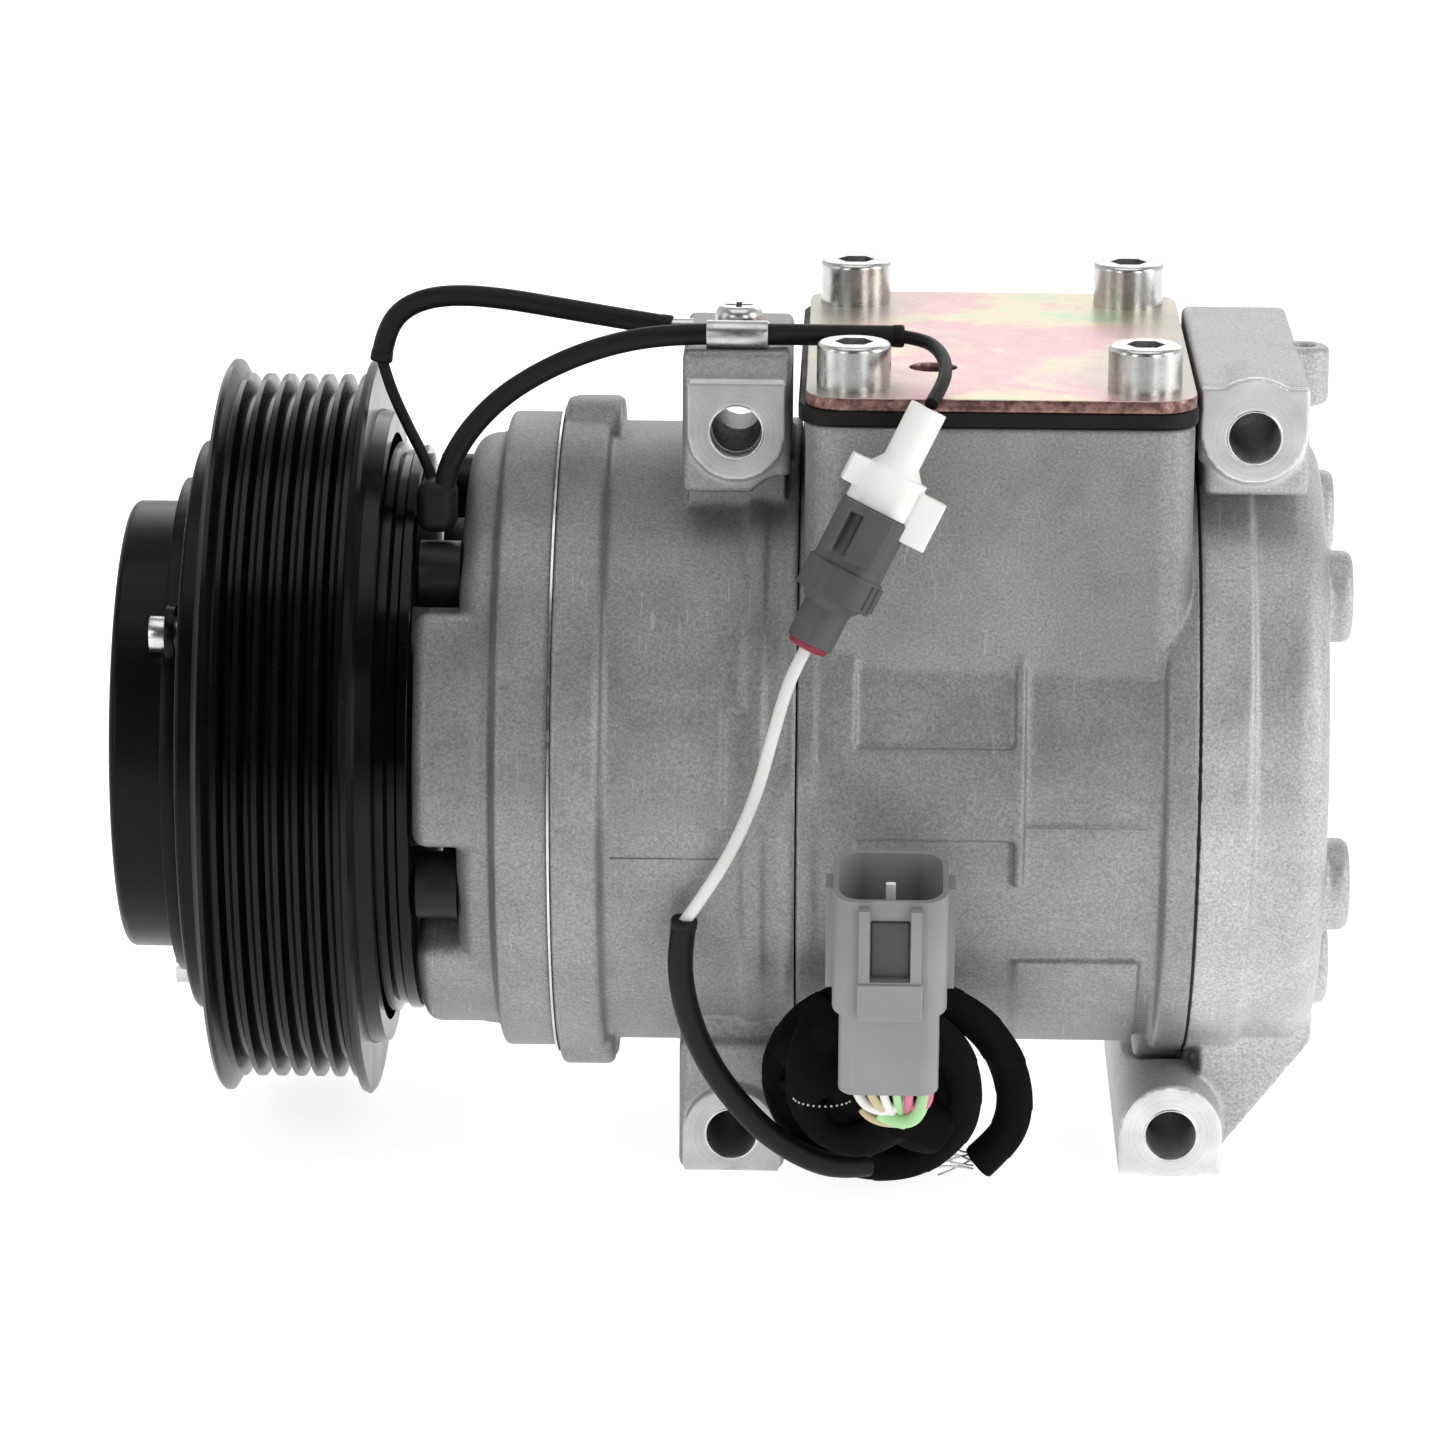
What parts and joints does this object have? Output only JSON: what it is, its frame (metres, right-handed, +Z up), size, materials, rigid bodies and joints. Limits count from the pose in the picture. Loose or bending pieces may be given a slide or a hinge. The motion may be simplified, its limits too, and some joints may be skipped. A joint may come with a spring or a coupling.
{
  "type": "air-conditioning compressor with electromagnetic clutch",
  "caption": "Belt-driven swash-plate air-conditioning compressor with an electromagnetic clutch on its shaft, a bolted cover plate over its ports and a coil lead with plug connectors.",
  "frame": {"origin": "middle of the underside of the assembly, on the plane that the feet stand on", "axes": "+X along the shaft from the clutch to the rear housing, -Y towards the side with the wiring and the mounting bolts' heads, +Z up"},
  "size_m": [0.2206, 0.1599, 0.158],
  "materials": {
    "cast_aluminium": "sand-cast, fine matte grain",
    "hub_black": "satin black",
    "pulley_black": "semi-gloss black",
    "coil_black": "gloss black",
    "rubber_black": "matte",
    "grommet_black": "matte",
    "zinc_bright": "bright zinc",
    "zinc_yellow": "iridescent yellow zinc",
    "bearing_steel": "ground",
    "gasket_metal": "bright edge",
    "bolt_black": "black oxide",
    "shaft_steel": "ground",
    "swash_iron": "machined",
    "piston_aluminium": "machined",
    "shoe_bronze": "polished",
    "winding_copper": "enamelled",
    "sleeve_black": "matte sleeve",
    "loom_tape": "cloth tape",
    "wire_white": "satin insulation",
    "wire_mixed": "satin insulation",
    "connector_white": "nylon",
    "connector_dark": "nylon",
    "connector_grey": "nylon",
    "pin_metal": "tinned"
  },
  "bodies": {
    "compressor": {"bearing_inner_ring": "bearing_steel", "bearing_snap_ring": "bearing_steel", "coil_housing": "coil_black", "coil_winding": "winding_copper", "coil_snap_ring": "bearing_steel", "coil_lead_clamp": "grommet_black", "front_housing": "cast_aluminium", "shaft_seal": "rubber_black", "front_gasket": "gasket_metal", "front_valve_plate": "bearing_steel", "front_cylinder": "cast_aluminium", "middle_seal": "rubber_black", "rear_cylinder": "cast_aluminium", "rear_gasket": "rubber_black", "rear_valve_plate": "bearing_steel", "rear_housing": "cast_aluminium", "through_bolts": "bolt_black", "thrust_bearings": "bearing_steel", "shaft_bearings": "bearing_steel", "port_cover_plate": "zinc_yellow", "port_gasket": "rubber_black", "port_bolts": "zinc_bright", "lead_clip": "zinc_bright", "clip_screw": "zinc_bright", "ring_terminal": "zinc_bright", "ground_wire": "sleeve_black", "ground_sleeve": "sleeve_black", "coil_lead_sleeve": "sleeve_black", "coil_lead_cable": "sleeve_black", "white_connector": "connector_white", "dark_connector": "connector_dark", "signal_wires": "wire_mixed", "white_wire": "wire_white", "lead_sleeve": "sleeve_black", "harness_loom": "loom_tape", "grey_connector": "connector_grey", "connector_pins": "pin_metal"},
    "pulley": {"pulley": "pulley_black", "bearing_outer_ring": "bearing_steel", "bearing_balls": "bearing_steel"},
    "shaft": {"drive_shaft": "shaft_steel", "inner_hub": "hub_black", "shaft_nut": "zinc_bright", "air_gap_shims": "bearing_steel", "swash_plate": "swash_iron", "rubber_damper": "rubber_black"},
    "armature": {"hub_drum": "hub_black", "spider_plate": "hub_black", "armature_plate": "hub_black", "armature_rivets": "zinc_bright"},
    "piston_1": {"piston_1": "piston_aluminium", "shoes_1": "shoe_bronze"},
    "piston_2": {"piston_2": "piston_aluminium", "shoes_2": "shoe_bronze"},
    "piston_3": {"piston_3": "piston_aluminium", "shoes_3": "shoe_bronze"},
    "piston_4": {"piston_4": "piston_aluminium", "shoes_4": "shoe_bronze"},
    "piston_5": {"piston_5": "piston_aluminium", "shoes_5": "shoe_bronze"}
  },
  "joints": [
    {"name": "pulley_spin", "type": "hinge", "parent": "compressor", "child": "pulley", "pos_m": [-0.0803, 0, 0.0724], "axis": [1, 0, 0], "continuous": true},
    {"name": "shaft_spin", "type": "hinge", "parent": "compressor", "child": "shaft", "pos_m": [0.0258, 0, 0.0724], "axis": [1, 0, 0], "continuous": true},
    {"name": "armature_travel", "type": "slide", "parent": "shaft", "child": "armature", "axis": [1, 0, 0], "range_m": [0, 0.0005], "stiffness_N_per_m": 20000},
    {"name": "piston_1_stroke", "type": "slide", "parent": "compressor", "child": "piston_1", "axis": [1, 0, 0], "range_m": [-0.01, 0.01]},
    {"name": "piston_2_stroke", "type": "slide", "parent": "compressor", "child": "piston_2", "axis": [1, 0, 0], "range_m": [-0.01, 0.01]},
    {"name": "piston_3_stroke", "type": "slide", "parent": "compressor", "child": "piston_3", "axis": [1, 0, 0], "range_m": [-0.01, 0.01]},
    {"name": "piston_4_stroke", "type": "slide", "parent": "compressor", "child": "piston_4", "axis": [1, 0, 0], "range_m": [-0.01, 0.01]},
    {"name": "piston_5_stroke", "type": "slide", "parent": "compressor", "child": "piston_5", "axis": [1, 0, 0], "range_m": [-0.01, 0.01]}
  ]
}
